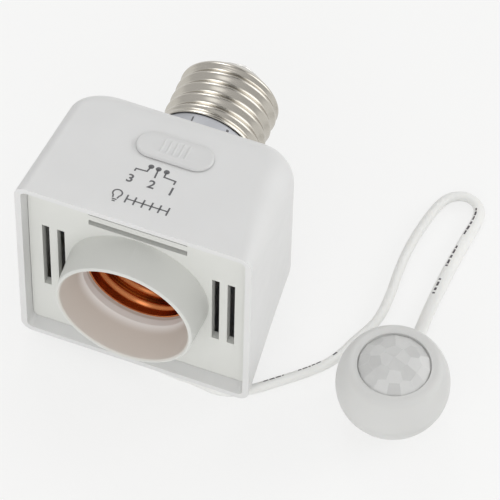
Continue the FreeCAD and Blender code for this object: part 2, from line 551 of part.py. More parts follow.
def make_board():
    w, h = BOARD_WIDTH / 2, BOARD_HEIGHT / 2
    board = block(-w, w, BOARD_FRONT, BOARD_BACK, AXIS_Z - h, AXIS_Z + h)
    board = board.makeFillet(3.0, [e for e in board.Edges if abs(e.tangentAt(e.FirstParameter).y) > 0.9])
    board = board.cut(rod(BOARD_HOLE_RADIUS, BOARD_FRONT - 1, BOARD_BACK + 1))
    for x, z in BOARD_SCREWS:
        board = board.cut(rod(SCREW_RADIUS, BOARD_FRONT - 1, BOARD_BACK + 1, x, z))
    rx, ry, rz = RELAY_SIZE
    side = BODY_OUTER + 0.9
    relay = block(side, side + rx, BOARD_FRONT - ry, BOARD_FRONT, AXIS_Z - rz * 0.6, AXIS_Z + rz * 0.4)
    relay = relay.makeFillet(0.5, [e for e in relay.Edges if abs(e.tangentAt(e.FirstParameter).y) > 0.9])
    fx, fy, fz = FILM_SIZE
    film = block(-side - fx, -side, BOARD_FRONT - fy, BOARD_FRONT, AXIS_Z - fz - 1.2, AXIS_Z - 1.2)
    film = film.makeFillet(0.6, film.Edges)
    elco_x, elco_z = -side - ELCO_RADIUS, AXIS_Z + ELCO_RADIUS + 0.6
    elco = rod(ELCO_RADIUS, BOARD_FRONT - ELCO_LENGTH, BOARD_FRONT, elco_x, elco_z)
    groove = turned_ring(ELCO_RADIUS - 0.35, ELCO_RADIUS + 1, BOARD_FRONT - 2.2, BOARD_FRONT - 1.4, elco_x, elco_z)
    elco = elco.cut(groove)
    fuse_y, fuse_z = BOARD_FRONT - FUSE_RADIUS, AXIS_Z - BOARD_HEIGHT / 2 + FUSE_RADIUS + 0.2
    fuse_x = BOOT_X + BOOT_FLANGE_RADIUS + 3.0
    glass = Part.makeCylinder(FUSE_RADIUS * 0.85, FUSE_LENGTH - 2 * FUSE_CAP,
                              Vector(fuse_x + FUSE_CAP, fuse_y, fuse_z), X)
    ends = [Part.makeCylinder(FUSE_RADIUS, FUSE_CAP, Vector(x, fuse_y, fuse_z), X)
            for x in (fuse_x, fuse_x + FUSE_LENGTH - FUSE_CAP)]
    fuse = glass.fuse(ends)
    cx, cy, cz = CHIP_SIZE
    chip_x = -NECK_FLANGE_RADIUS - 1.0 - cx
    chip = block(chip_x, chip_x + cx, BOARD_BACK, BOARD_BACK + cy, AXIS_Z - cz / 2, AXIS_Z + cz / 2)
    for i in range(4):
        z = AXIS_Z + (i - 1.5) * cz / 4
        chip = chip.fuse(block(chip_x - 0.8, chip_x + cx + 0.8, BOARD_BACK, BOARD_BACK + 0.5, z - 0.3, z + 0.3))
    px, py, pz = PLUG_SIZE
    plug_x = BOOT_X - BOOT_FLANGE_RADIUS - 1.5 - px
    plug = block(plug_x, plug_x + px, BOARD_FRONT - py, BOARD_FRONT, fuse_z - FUSE_RADIUS, fuse_z - FUSE_RADIUS + pz)
    screws = screws_at([Vector(x, BOARD_FRONT, z) for x, z in BOARD_SCREWS], Vector(0, -1, 0),
                       BOARD_THICKNESS + BOARD_STANDOFF)
    return {"main_board": board, "relay": relay, "film_capacitor": film, "electrolytic_capacitor": elco,
            "fuse": fuse, "driver_chip": chip, "sensor_plug": plug, "board_screws": screws}


def turned_ring(inner, outer, y0, y1, x, z):
    return rod(outer, y0, y1, x, z).cut(rod(inner, y0 - 1, y1 + 1, x, z))


def make_leads():
    z = AXIS_Z
    wall = CAP_RADIUS - CAP_THICKNESS - LEAD_RADIUS
    centre = tube([Vector(0, CAP_END + INSULATOR_HEIGHT, z), Vector(0, CAP_BEND - 2, z),
                   Vector(2.4, CAP_START + 4, z - 1.2), Vector(6.2, DEPTH, z - 2.8),
                   Vector(6.2, BOARD_BACK, z - 2.8)], LEAD_RADIUS)
    bore = NECK_BORE - 2 * LEAD_RADIUS
    side = tube([Vector(-wall, CAP_BEND - 0.5, z), Vector(-wall, CAP_START + CAP_SPIGOT + 5.5, z),
                 Vector(-bore, CAP_START + CAP_SPIGOT + 0.5, z + 1.4), Vector(-bore, BOARD_BACK, z + 1.4)], LEAD_RADIUS)
    shell_lead = rod(LEAD_RADIUS, SOCKET_FLOOR_Y, BOARD_FRONT, -SOCKET_SHELL_RADIUS * 0.7)
    low = z - CONTACT_REACH
    contact_lead = rod(LEAD_RADIUS, SOCKET_BACK + 0.7, BOARD_FRONT, 0, low)
    return Part.makeCompound([centre, side]), Part.makeCompound([shell_lead, contact_lead])


def cord_route():
    """The cord's route from the strain relief to the sensor ball, as points in mm."""
    floor = HALF_CORD
    flat = [(-9.6, 14.5), (-6.6, 7.4), (0.2, 3.2), (8.2, 1.9), (16.4, 1.7), (22.4, 0.7), (28.8, 3.5), (34.6, 8.7),
            (40.5, 14.0), (45.5, 19.7), (48.0, 26.7), (51.5, 34.5), (51.8, 42.8), (51.1, 51.5), (51.2, 60.0),
            (52.4, 68.4), (53.7, 74.1), (55.6, 77.6), (59.3, 79.4), (63.0, 78.1), (64.8, 74.5), (63.8, 66.8),
            (63.0, 58.9), (62.5, 50.8), (62.2, 42.4)]
    start = Vector(BOOT_X, BOOT_Y, floor)
    heading = Vector(flat[0][0], flat[0][1], floor) - start
    heading.normalize()
    tip = start + heading * BOOT_NOSE_LENGTH
    exit_point, outward = bushing_line()
    end = exit_point + outward * BUSHING_OUT
    landing = exit_point + outward * ((exit_point.z - floor) / -outward.z)
    points = [tip] + [Vector(x, y, floor) for x, y in flat] + [landing, end]
    return points, start, heading


def make_boot(start, heading):
    """The elbow that holds the cord under the housing: a flange inside, a post, a foot on the table and a nose."""
    inside = AXIS_Z - half_height(BOOT_Y) + WALL * math.hypot(1, TOP_TAPER)
    outside = inside - WALL * math.hypot(1, TOP_TAPER)
    base = Vector(BOOT_X, BOOT_Y, 0)
    foot_height = AXIS_Z - half_height(BOOT_Y - BOOT_FOOT_RADIUS) - BOOT_GAP
    foot = Part.makeCylinder(BOOT_FOOT_RADIUS, foot_height, base)
    foot = foot.makeFillet(BOOT_FOOT_ROUND, [e for e in foot.Edges if e.Closed and e.CenterOfMass.z > 1])
    post = Part.makeCylinder(BOOT_POST_RADIUS, inside + BOOT_FLANGE + 1.4, base)
    flange = Part.makeCylinder(BOOT_FLANGE_RADIUS, 3 * BOOT_FLANGE, base + Vector(0, 0, inside - BOOT_FLANGE))
    flange = flange.common(cavity()).cut(
        Part.makeBox(40, 40, 40, base + Vector(-20, -20, inside + BOOT_FLANGE)))
    nose = Part.makeCone(BOOT_NOSE_BASE, BOOT_NOSE_TIP, BOOT_NOSE_LENGTH, start, heading)
    nose = nose.common(Part.makeBox(60, 60, 20, base - Vector(30, 30, 0))).cut(wedge(-BOOT_GAP, -1.0, DEPTH))
    boot = foot.fuse([post, flange, nose])
    return boot.removeSplitter(), outside, inside


def lens_axis():
    tilt, azimuth = math.radians(LENS_TILT), math.radians(LENS_TILT_AZIMUTH)
    return Vector(math.sin(tilt) * math.cos(azimuth), math.sin(tilt) * math.sin(azimuth), math.cos(tilt))


def in_ball(solid):
    """Places a solid made about the origin into the ball, its Z along the lens."""
    solid = solid.copy()
    solid.Placement = FreeCAD.Placement(BALL_CENTRE, FreeCAD.Rotation(Z, lens_axis())).multiply(solid.Placement)
    return solid


def bushing_line():
    """Where the cord leaves the ball's surface, and its direction there."""
    slope, azimuth = math.radians(BUSHING_SLOPE), math.radians(BUSHING_AZIMUTH)
    outward = Vector(math.cos(slope) * math.cos(azimuth), math.cos(slope) * math.sin(azimuth), -math.sin(slope))
    return BALL_CENTRE + outward * BALL_RADIUS, outward


def drum(radius, z0, z1, x=0.0, y=0.0):
    return Part.makeCylinder(radius, z1 - z0, Vector(x, y, z0))


def make_lens(rim_z):
    """The lens: a thin dome with flat facets in rings, on a flange."""
    centre = LENS_TOP - LENS_DOME_RADIUS
    dome = drum(LENS_RADIUS, rim_z, LENS_TOP + 1)
    for count, angle, shift in zip(FACET_RING_COUNTS, FACET_RING_TILTS, FACET_RING_AZIMUTHS):
        for i in range(count):
            a, b = math.radians(angle), math.radians(shift + 360.0 * i / count)
            normal = Vector(math.sin(a) * math.cos(b), math.sin(a) * math.sin(b), math.cos(a))
            slab = Part.makeBox(60, 60, 20, Vector(-30, -30, 0))
            slab.Placement = FreeCAD.Placement(Vector(0, 0, centre) + normal * (LENS_DOME_RADIUS * 0.985),
                                               FreeCAD.Rotation(Z, normal)).multiply(slab.Placement)
            dome = dome.cut(slab)
    hollow = Part.makeSphere(LENS_DOME_RADIUS - LENS_THICKNESS, Vector(0, 0, centre))
    hollow = hollow.common(drum(LENS_RADIUS - LENS_THICKNESS, rim_z - LENS_FLANGE - 1, LENS_TOP + 1))
    flange = drum(LENS_FLANGE_RADIUS, rim_z - LENS_FLANGE, rim_z)
    return dome.fuse(flange).cut(hollow)


def make_ball():
    inner = BALL_RADIUS - BALL_WALL
    opening_z = math.sqrt(BALL_RADIUS ** 2 - OPENING_RADIUS ** 2)
    rim_z = LENS_TOP - LENS_DOME_RADIUS + math.sqrt((LENS_DOME_RADIUS * 0.985) ** 2 - LENS_RADIUS ** 2) - 0.4
    ball, hollow = Part.makeSphere(BALL_RADIUS), Part.makeSphere(inner)
    far = BALL_RADIUS + 5
    tongue_r = inner + (BALL_WALL - BALL_TONGUE) / 2 + BALL_TONGUE / 2

    upper = ball.common(drum(far, BALL_SPLIT, far)).cut(hollow)
    seat = ball.common(drum(far, rim_z, opening_z - 0.6))
    upper = upper.fuse(seat).cut(drum(OPENING_RADIUS - OPENING_STEP, rim_z - 3, far))
    upper = upper.cut(drum(OPENING_RADIUS, opening_z - 1.6, far))
    upper = upper.cut(drum(tongue_r, BALL_SPLIT - 1, BALL_SPLIT + BALL_TONGUE_HEIGHT))

    lower = ball.common(drum(far, -far, BALL_SPLIT)).cut(hollow)
    tongue = drum(tongue_r, BALL_SPLIT - 1.5, BALL_SPLIT + BALL_TONGUE_HEIGHT).cut(drum(inner, -far, far))
    lower = lower.fuse(ball.common(tongue))
    board_z = BALL_SPLIT + 1.0
    posts = [(SENSOR_POST_CIRCLE * math.cos(a), SENSOR_POST_CIRCLE * math.sin(a))
             for a in (math.radians(20 + 120 * i) for i in range(3))]
    for x, y in posts:
        post = drum(SENSOR_POST_RADIUS, -far, board_z, x, y).common(Part.makeSphere(inner + BALL_WALL / 2))
        lower = lower.fuse(post).cut(drum(SCREW_RADIUS * 0.8, board_z - SENSOR_SCREW_GRIP, board_z, x, y))

    top = board_z + SENSOR_BOARD_THICKNESS
    board = drum(SENSOR_BOARD_RADIUS, board_z, top)
    for x, y in posts:
        board = board.cut(drum(SCREW_RADIUS * 0.8, board_z - 1, top + 1, x, y))
    screws = screws_at([Vector(x, y, top) for x, y in posts], Z, SENSOR_BOARD_THICKNESS + SENSOR_SCREW_GRIP,
                       SCREW_RADIUS * 0.8, 1.5, 0.9)
    pir = drum(PIR_RADIUS, top, top + PIR_HEIGHT).fuse(drum(PIR_RADIUS + 0.5, top, top + 0.6))
    pir = pir.makeFillet(0.5, [e for e in pir.Edges if e.Closed and abs(e.CenterOfMass.z - top - PIR_HEIGHT) < 1e-6])
    wx, wy, wz = PIR_WINDOW
    window = block(-wx / 2, wx / 2, -wy / 2, wy / 2, top + PIR_HEIGHT - wz, top + PIR_HEIGHT)
    pir = pir.cut(window)
    a = math.radians(80)
    photocell = drum(PHOTOCELL_RADIUS, top, top + PHOTOCELL_HEIGHT, SENSOR_POST_CIRCLE * math.cos(a),
                     SENSOR_POST_CIRCLE * math.sin(a))
    lens = make_lens(rim_z)
    holder = drum(LENS_FLANGE_RADIUS, top, rim_z - LENS_FLANGE)
    holder = holder.cut(drum(LENS_FLANGE_RADIUS - HOLDER_WALL, top - 1, rim_z))

    placed = {name: in_ball(solid) for name, solid in (
        ("ball_upper", upper), ("ball_lower", lower), ("sensor_lens", lens), ("lens_holder", holder),
        ("sensor_board", board), ("sensor_screws", screws), ("pir_sensor", pir), ("pir_window", window),
        ("photocell", photocell))}
    exit_point, outward = bushing_line()
    start = exit_point - outward * (BALL_WALL + BUSHING_IN)
    barrel = Part.makeCylinder(BUSHING_RADIUS, BALL_WALL + BUSHING_IN, start, outward)
    bushing = barrel.fuse(Part.makeCone(BUSHING_RADIUS, BUSHING_TIP, BUSHING_OUT, exit_point, outward))
    placed["ball_bushing"] = bushing.removeSplitter()
    placed["ball_lower"] = placed["ball_lower"].cut(bushing)
    side = 4 * BALL_RADIUS
    floor = Part.makeBox(side, side, side, BALL_CENTRE - Vector(side / 2, side / 2, side + BALL_Z))
    placed["ball_lower"] = placed["ball_lower"].cut(floor)
    return placed


def build():
    nodes = {"housing": make_housing(), "front_cover": make_cover()}
    body, shell, contact, rivet = make_socket()
    nodes.update({"socket_body": body, "socket_shell": shell, "socket_contact": contact, "contact_rivet": rivet})
    seats = [Vector(x, LUG_Y + LUG_THICKNESS, z) for x, z in SOCKET_POSTS]
    nodes["socket_screws"] = screws_at(seats, Y, LUG_THICKNESS + 3.4)
    neck, cap, insulator, button = make_cap()
    nodes.update({"cap_neck": neck, "cap_shell": cap, "cap_insulator": insulator, "cap_contact": button})
    knob, lever_top = make_knob()
    switch, lever, screws = make_switch(lever_top)
    nodes.update({"switch_knob": knob, "slide_switch": switch, "switch_lever": lever, "switch_screws": screws})
    nodes.update(make_board())
    nodes["supply_leads"], nodes["lamp_leads"] = make_leads()
    points, start, heading = cord_route()
    nodes["sensor_cord"] = tube(points, HALF_CORD)
    nodes["cord_boot"], outside, inside = make_boot(start, heading)
    nodes.update(make_ball())
    return nodes


os.makedirs("parts", exist_ok=True)
for name, shape in build().items():
    shape.translate(-ORIGIN)
    shape.exportStep("parts/%s.step" % name)
    print("%-24s valid %s, solids %d, volume %.1f" % (name, shape.isValid(), len(shape.Solids), shape.Volume))
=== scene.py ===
"""Looks of the lamp holder with a motion sensor: camera, cord, thread, print, lens, materials and light."""
import math
import random

import bpy
from mathutils import Matrix, Vector


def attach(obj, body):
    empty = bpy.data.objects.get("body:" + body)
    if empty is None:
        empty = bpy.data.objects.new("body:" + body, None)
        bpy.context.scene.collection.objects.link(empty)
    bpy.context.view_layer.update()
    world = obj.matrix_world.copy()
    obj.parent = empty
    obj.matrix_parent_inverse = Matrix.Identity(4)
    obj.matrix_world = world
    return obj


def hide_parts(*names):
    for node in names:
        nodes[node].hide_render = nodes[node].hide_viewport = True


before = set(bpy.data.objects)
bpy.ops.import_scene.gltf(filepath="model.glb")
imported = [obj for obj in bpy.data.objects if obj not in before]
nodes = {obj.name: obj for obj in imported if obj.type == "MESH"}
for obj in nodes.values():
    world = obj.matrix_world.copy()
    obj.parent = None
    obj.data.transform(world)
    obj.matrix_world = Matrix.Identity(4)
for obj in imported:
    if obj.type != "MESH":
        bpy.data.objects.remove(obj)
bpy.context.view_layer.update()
MM = 0.001

# Places below are in mm from the middle of the housing's front opening, over the table
ORIGIN_X, ORIGIN_Y = 23.6, 33.2
AXIS_Z = 32.4
FRONT_HEIGHT, TOP_TAPER = 59.2, 0.15854


def at(x, y, z):
    """A point in the row frame, in metres."""
    return Vector((x - ORIGIN_X, y - ORIGIN_Y, z)) * MM


# Camera
camera = bpy.data.objects.new("camera", bpy.data.cameras.new("camera"))
bpy.context.scene.collection.objects.link(camera)
CAMERA_PLACE = (0.181595, -0.523620, 0.806497)
CAMERA_RIGHT = (0.93383, 0.35739, 0.01522)
CAMERA_UP = (-0.30044, 0.76050, 0.57565)
CAMERA_BACK = (0.19416, -0.54214, 0.81755)
camera_turn = Matrix((CAMERA_RIGHT, CAMERA_UP, CAMERA_BACK)).transposed().to_4x4()
camera.matrix_world = Matrix.Translation(CAMERA_PLACE) @ camera_turn
camera.data.sensor_width = 36
camera.data.lens = 280.8
camera.data.clip_start, camera.data.clip_end = 0.01, 20
bpy.context.scene.camera = camera
bpy.context.scene.view_settings.view_transform = "Standard"


# Mesh helpers
def piece(name, verts, faces, body="holder", smooth=True):
    mesh = bpy.data.meshes.new(name)
    mesh.from_pydata([tuple(v) for v in verts], [], faces)
    mesh.validate()
    mesh.update()
    if smooth:
        mesh.polygons.foreach_set("use_smooth", [True] * len(mesh.polygons))
    made = bpy.data.objects.new(name, mesh)
    bpy.context.scene.collection.objects.link(made)
    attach(made, body)
    return made


def grid_faces(rows, columns, closed=True):
    """Quads between rows of points; each row is a ring if closed."""
    faces = []
    last = columns if closed else columns - 1
    for r in range(rows - 1):
        for c in range(last):
            n = (c + 1) % columns
            faces.append((r * columns + c, r * columns + n, (r + 1) * columns + n, (r + 1) * columns + c))
    return faces


def turned(name, rows, segments, radius_at, flip=False):
    """A skin about the lamp's axis: rows are (y, radius) stations, and radius_at shapes each point."""
    verts = []
    for y, r in rows:
        for i in range(segments):
            a = 2 * math.pi * i / segments
            rr = radius_at(y, r, a)
            verts.append(at(rr * math.sin(a), y, AXIS_Z + rr * math.cos(a)))
    faces = grid_faces(len(rows), segments)
    if flip:
        faces = [f[::-1] for f in faces]
    return piece(name, verts, faces)


def spread(a, b, step):
    """Values from a to b about a step apart."""
    count = max(1, int(round(abs(b - a) / step)))
    return [a + (b - a) * i / count for i in range(count + 1)]


def ease(t):
    t = min(1.0, max(0.0, t))
    return t * t * (3 - 2 * t)


# Cord
CORD_WIDTH, CORD_THICKNESS = 3.4, 2.5
CORD_HEIGHT = 1.4  # of the route's middle over the table, before the section is rolled
ROUTE = [
    (-8.556, 21.122), (-9.6, 14.5), (-6.6, 7.4), (0.2, 3.2), (8.2, 1.9), (16.4, 1.7), (22.4, 0.7),
    (28.8, 3.5), (34.6, 8.7), (40.5, 14.0), (45.5, 19.7), (48.0, 26.7), (51.5, 34.5), (51.8, 42.8),
    (51.1, 51.5), (51.2, 60.0), (52.4, 68.4), (53.7, 74.1), (55.6, 77.6), (59.3, 79.4), (63.0, 78.1),
    (64.8, 74.5), (63.8, 66.8), (63.0, 58.9), (62.5, 50.8), (62.2, 42.4), (62.359, 32.793)]
CORD_END = (62.688, 25.266, 5.75)
# Share of the length, and how far the flat section is rolled up on its edge there, in degrees
ROLL = ((0.0, 20), (0.12, 45), (0.20, 45), (0.28, 72), (0.55, 80),
        (0.66, 62), (0.80, 34), (0.90, -14), (1.0, -18))
CORD_STATIONS, CORD_SIDES = 420, 28


def roll_at(share):
    for (s0, r0), (s1, r1) in zip(ROLL, ROLL[1:]):
        if share <= s1:
            return math.radians(r0 + (r1 - r0) * ease((share - s0) / (s1 - s0)))
    return math.radians(ROLL[-1][1])


def route_line():
    """Points along the route's smooth spline, close together, in metres."""
    curve = bpy.data.curves.new("route", "CURVE")
    curve.dimensions = "3D"
    curve.resolution_u = 10
    spline = curve.splines.new("NURBS")
    control = [at(x, y, CORD_HEIGHT) for x, y in ROUTE] + [at(*CORD_END)]
    spline.points.add(len(control) - 1)
    for point, co in zip(spline.points, control):
        point.co = (*co, 1)
    spline.order_u = 3
    spline.use_endpoint_u = True
    carrier = bpy.data.objects.new("route", curve)
    bpy.context.scene.collection.objects.link(carrier)
    mesh = bpy.data.meshes.new_from_object(carrier)
    line = [v.co.copy() for v in mesh.vertices]
    bpy.data.objects.remove(carrier)
    return line


class Flex:
    """The cord's flat section swept along its line, twisting as it goes."""

    def __init__(self, line):
        self.reach = [0.0]
        for a, b in zip(line, line[1:]):
            self.reach.append(self.reach[-1] + (b - a).length)
        self.length = self.reach[-1]
        self.line = []
        for i, p in enumerate(line):
            share = self.reach[i] / self.length
            settle = ease(share / 0.03) * ease((0.93 - share) / 0.05)  # not at the strain relief or the ball
            self.line.append(p + Vector((0, 0, (self.half_height(share) - CORD_HEIGHT) * MM * settle)))

    def half_height(self, share):
        roll = roll_at(share)
        return math.hypot(CORD_WIDTH / 2 * math.sin(roll), CORD_THICKNESS / 2 * math.cos(roll))

    def section(self, distance):
        """The centre, sideways and upward directions at a distance along the line."""
        distance = min(max(distance, 0.0), self.length)
        i = next((k for k, r in enumerate(self.reach) if r > distance), len(self.reach) - 1) - 1
        t = (distance - self.reach[i]) / (self.reach[i + 1] - self.reach[i])
        centre = self.line[i].lerp(self.line[i + 1], t)
        a, b = self.line[max(0, i - 1)], self.line[min(len(self.line) - 1, i + 2)]
        along = (b - a).normalized()
        side = along.cross(Vector((0, 0, 1))).normalized()
        return centre, side, side.cross(along)

    def surface(self, distance, angle, lift=0.0):
        """A point on the sheath: angle 0 is to the right of the way it runs, and a quarter turn is up."""
        centre, side, upward = self.section(distance)
        roll = roll_at(distance / self.length)
        c, s = math.cos(angle - roll), math.sin(angle - roll)
        u, v = (CORD_WIDTH / 2 + lift) * MM * c, (CORD_THICKNESS / 2 + lift) * MM * s
        across = u * math.cos(roll) - v * math.sin(roll)
        return centre + side * across + upward * (u * math.sin(roll) + v * math.cos(roll))


flex = Flex(route_line())
stations = [flex.length * i / CORD_STATIONS for i in range(CORD_STATIONS + 1)]
cord_verts = [flex.surface(d, 2 * math.pi * k / CORD_SIDES) for d in stations for k in range(CORD_SIDES)]
first_cap = tuple(range(CORD_SIDES))
last_cap = tuple(range(len(cord_verts) - CORD_SIDES, len(cord_verts)))[::-1]
cord_faces = grid_faces(len(stations), CORD_SIDES) + [first_cap, last_cap]
sensor_cord = piece("cord", cord_verts, cord_faces)

# Plain dashes in place of the cord's print
random.seed(7)
DASH_LENGTHS, DASH_GAPS, GROUP_GAP = (0.5, 0.9, 1.3), (0.35, 0.6), 3.4
INK_LIFT = 0.02
ink_verts, ink_faces = [], []


def dash(start, length, angle, width):
    """A short inked stroke on the sheath; width is in degrees."""
    base = len(ink_verts)
    half = math.radians(width) / 2
    for i in range(4):
        for j in range(4):
            ink_verts.append(flex.surface(start + length * i / 3, angle - half + 2 * half * j / 3, INK_LIFT))
    ink_faces.extend(tuple(base + k for k in face) for face in grid_faces(4, 4, False))


def printed(first, last, angle, width):
    """A row of dashes in groups between two distances, in mm."""
    d = first
    while d < last:
        for _ in range(random.choice((4, 5, 5, 6))):
            stroke = random.choice(DASH_LENGTHS)
            if d + stroke > last:
                break
            dash(d * MM, stroke * MM, math.radians(angle), width * random.uniform(0.6, 1.0))
            d += stroke + random.choice(DASH_GAPS)
        d += GROUP_GAP


printed(46.5, 77.0, 118, 32)
printed(143.5, 177.0, 62, 26)
cord_print = piece("cord_print", ink_verts, ink_faces)
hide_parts("sensor_cord")

# Screw cap
PITCH = 3.63
CAP_START, CAP_BEND, CAP_END = 48.0, 64.0, 69.0
CAP_RADIUS, ROOT_RADIUS = 13.1, 12.2
CAP_PHASE = 0.30
SPOT_Y, SPOT_TURN, SPOT_REACH, SPOT_RADIUS = 62.4, 1.5 * math.pi, 2.3, 12.95


def rolled(phase):
    """A rolled thread's rounded wave, 0 at the crest and 1 in the root."""
    return 0.5 - 0.5 * math.cos(2 * math.pi * phase)


def cap_radius(y, r, a):
    """The thread, and a flat spot on its left side where the lead is soldered on from inside."""
    fade = ease((y - CAP_START - 0.5) / 1.6) * ease((CAP_BEND + 0.9 - y) / 1.6)
    depth = rolled((y - CAP_START) / PITCH - a / (2 * math.pi) + CAP_PHASE)
    thread = r - (CAP_RADIUS - ROOT_RADIUS) * fade * depth
    spot = ease((SPOT_REACH - math.hypot(y - SPOT_Y, (a - SPOT_TURN) * CAP_RADIUS)) / 0.8)
    return thread + spot * max(0.0, SPOT_RADIUS - thread) if y < CAP_BEND + 0.5 else thread


# The lip at the neck, the thread, the bend and the cone to the insulator
cap_rows = [(CAP_START + 0.25, 12.75), (CAP_START, 12.82), (CAP_START, CAP_RADIUS - 0.08),
            (CAP_START + 0.12, CAP_RADIUS)]
cap_rows += [(y, CAP_RADIUS) for y in spread(CAP_START + 0.3, CAP_BEND, 0.13)]
cap_rows += [(CAP_BEND + dy, CAP_RADIUS - dr) for dy, dr in
             ((0.3, 0.03), (0.6, 0.1), (0.9, 0.22), (1.2, 0.43), (1.5, 0.7), (1.8, 1.02))]
cap_rows += [(y, 12.2 + (8.35 - 12.2) * (y - 65.7) / (68.8 - 65.7)) for y in spread(66.1, 68.8, 0.3)]
cap_rows += [(CAP_END, 8.2), (CAP_END - 0.1, 8.0)]
cap = turned("cap_thread", cap_rows, 240, cap_radius, flip=True)
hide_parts("cap_shell")

# The neck between the housing and the cap, its inner end slimmer than the thread's root
NECK_SURFACE = 12.67
neck_rows = [(39.3, 15.2), (39.3, 12.7), (41.0, 12.7), (41.2, 12.68), (47.7, 12.66), (47.95, 12.6),
             (48.3, 11.7), (54.0, 11.7), (54.0, 10.2), (37.6, 10.2), (37.6, 15.4), (39.2, 15.4),
             (39.3, 15.2)]
neck = turned("neck", neck_rows, 128, lambda y, r, a: r, flip=True)
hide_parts("cap_neck")


def pad_on_neck(name, angle, y0, y1, width, lift):
    """A small raised patch on the neck: angle in degrees from the top, clockwise seen from the front."""
    verts = []
    rows = spread(y0, y1, 0.35)
    for i, y in enumerate(rows):
        for j in range(5):
            edge = 0 if 0 < i < len(rows) - 1 and 0 < j < 4 else 1
            r = NECK_SURFACE + lift * (1 - edge)
            a = math.radians(angle) + (j / 4 - 0.5) * width / 12.6
            verts.append(at(r * math.sin(a), y, AXIS_Z + r * math.cos(a)))
    return piece(name, verts, [f[::-1] for f in grid_faces(len(rows), 5, False)])


neck_marks = [pad_on_neck("neck_mark_1", -13.0, 45.3, 47.0, 0.42, 0.1),
              pad_on_neck("neck_mark_2", 29.0, 46.4, 47.1, 0.7, 0.1)]

# Copper socket
SOCKET_FRONT, SOCKET_STEP_Y, SOCKET_BOTTOM = 4.7, 18.1, 23.0
SOCKET_RADIUS, SOCKET_DEEP_RADIUS, SOCKET_RIB, SOCKET_PHASE = 13.35, 12.35, 0.75, 0.60


def socket_radius(y, r, a):
    fade = ease((y - SOCKET_FRONT - 1.2) / 1.2) * ease((SOCKET_STEP_Y - y) / 1.5)
    depth = rolled((y - SOCKET_FRONT) / PITCH - a / (2 * math.pi) + SOCKET_PHASE)
    return r - SOCKET_RIB * fade * (1 - depth) if fade else r


# The flat rim, the thread and the slimmer inner end
socket_rows = [(SOCKET_FRONT - 0.02, 13.84), (SOCKET_FRONT - 0.02, 13.42),
               (SOCKET_FRONT + 0.12, SOCKET_RADIUS)]
socket_rows += [(y, SOCKET_RADIUS) for y in spread(SOCKET_FRONT + 0.3, SOCKET_STEP_Y, 0.14)]
socket_rows += [(SOCKET_STEP_Y + 1.0, SOCKET_DEEP_RADIUS), (SOCKET_BOTTOM - 0.3, SOCKET_DEEP_RADIUS),
                (SOCKET_BOTTOM, 12.0)]
copper = turned("socket_thread", socket_rows, 240, socket_radius)

# Timer knob
KNOB_X, KNOB_S, TOP_Z = 0.6, 26.32, AXIS_Z + FRONT_HEIGHT / 2
KNOB_HALF_LENGTH, KNOB_HALF_WIDTH = 9.75, 4.2
KNOB_FOOT, KNOB_EDGE, KNOB_CROWN = 0.15, 0.8, 0.35
KNOB_WALL, KNOB_ROUND, KNOB_COLUMNS = 0.35, 0.55, 420
DISH_DEPTH, DISH_HALF_LENGTH, DISH_HALF_WIDTH = 0.34, 6.4, 3.1
RIB_COUNT, RIB_PITCH, RIB_WIDTH, RIB_REACH, RIB_HEIGHT = 5, 1.55, 0.85, 2.5, 0.18
SLOPE = math.atan(TOP_TAPER)


def on_slope(x, s, z):
    """A point from across, down the slope and out of the sloping top, in metres."""
    c, d = math.cos(SLOPE), math.sin(SLOPE)
    return at(x, s * c + z * d, TOP_Z - s * d + z * c)


def knob_height(x, s):
    """The knob's upper surface over its own middle: a low crown, a shallow thumb dish and five ribs."""
    crown = KNOB_CROWN * (1 - (x / KNOB_HALF_LENGTH) ** 2) * (1 - 0.6 * (s / KNOB_HALF_WIDTH) ** 2)
    dish = DISH_DEPTH * ease(1.35 * (1 - math.hypot(x / DISH_HALF_LENGTH, s / DISH_HALF_WIDTH)))
    rib = 0.0
    for i in range(RIB_COUNT):
        across = abs(x - (i - (RIB_COUNT - 1) / 2) * RIB_PITCH) / (RIB_WIDTH / 2)
        along = (RIB_REACH - abs(s)) / 0.5
        if across < 1:
            rib = RIB_HEIGHT * math.cos(across * math.pi / 2) ** 2 * ease(along)
    return crown - dish + rib


def knob_mesh():
    """The knob as rings from its foot over the rounded edge to the middle of its crown."""
    straight = KNOB_HALF_LENGTH - KNOB_HALF_WIDTH
    outline = 4 * straight + 2 * math.pi * KNOB_HALF_WIDTH
    rim = []
    for k in range(KNOB_COLUMNS):
        d = outline * k / KNOB_COLUMNS
        side, d = divmod(d, outline / 2)
        sign = 1 if side == 0 else -1
        if d < 2 * straight:
            rim.append((sign * (d - straight), 0.0, -sign))
        else:
            a = (d - 2 * straight) / KNOB_HALF_WIDTH - math.pi / 2
            rim.append((sign * straight, sign * math.cos(a), sign * math.sin(a)))
    levels = [(0.0, KNOB_FOOT), (0.0, KNOB_FOOT + KNOB_WALL)]
    levels += [(KNOB_ROUND - KNOB_ROUND * math.cos(a),
                KNOB_FOOT + KNOB_WALL + (KNOB_EDGE - KNOB_WALL) * math.sin(a))
               for a in spread(0.0, math.pi / 2, math.radians(11))[1:]]
    levels += [(d, KNOB_FOOT + KNOB_EDGE) for d in spread(KNOB_ROUND, KNOB_HALF_WIDTH, 0.09)[1:]]
    verts = []
    for inset, z in levels:
        blend = ease((inset - 0.1) / 1.5)
        for cx, nx, ns in rim:
            x, s = cx + nx * (KNOB_HALF_WIDTH - inset), ns * (KNOB_HALF_WIDTH - inset)
            verts.append(on_slope(KNOB_X + x, KNOB_S + s, z + blend * knob_height(x, s)))
    return verts, grid_faces(len(levels), KNOB_COLUMNS)


knob = piece("knob", *knob_mesh(), body="knob")
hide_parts("switch_knob")

# Marks on the top
PRINT_LIFT = 0.03


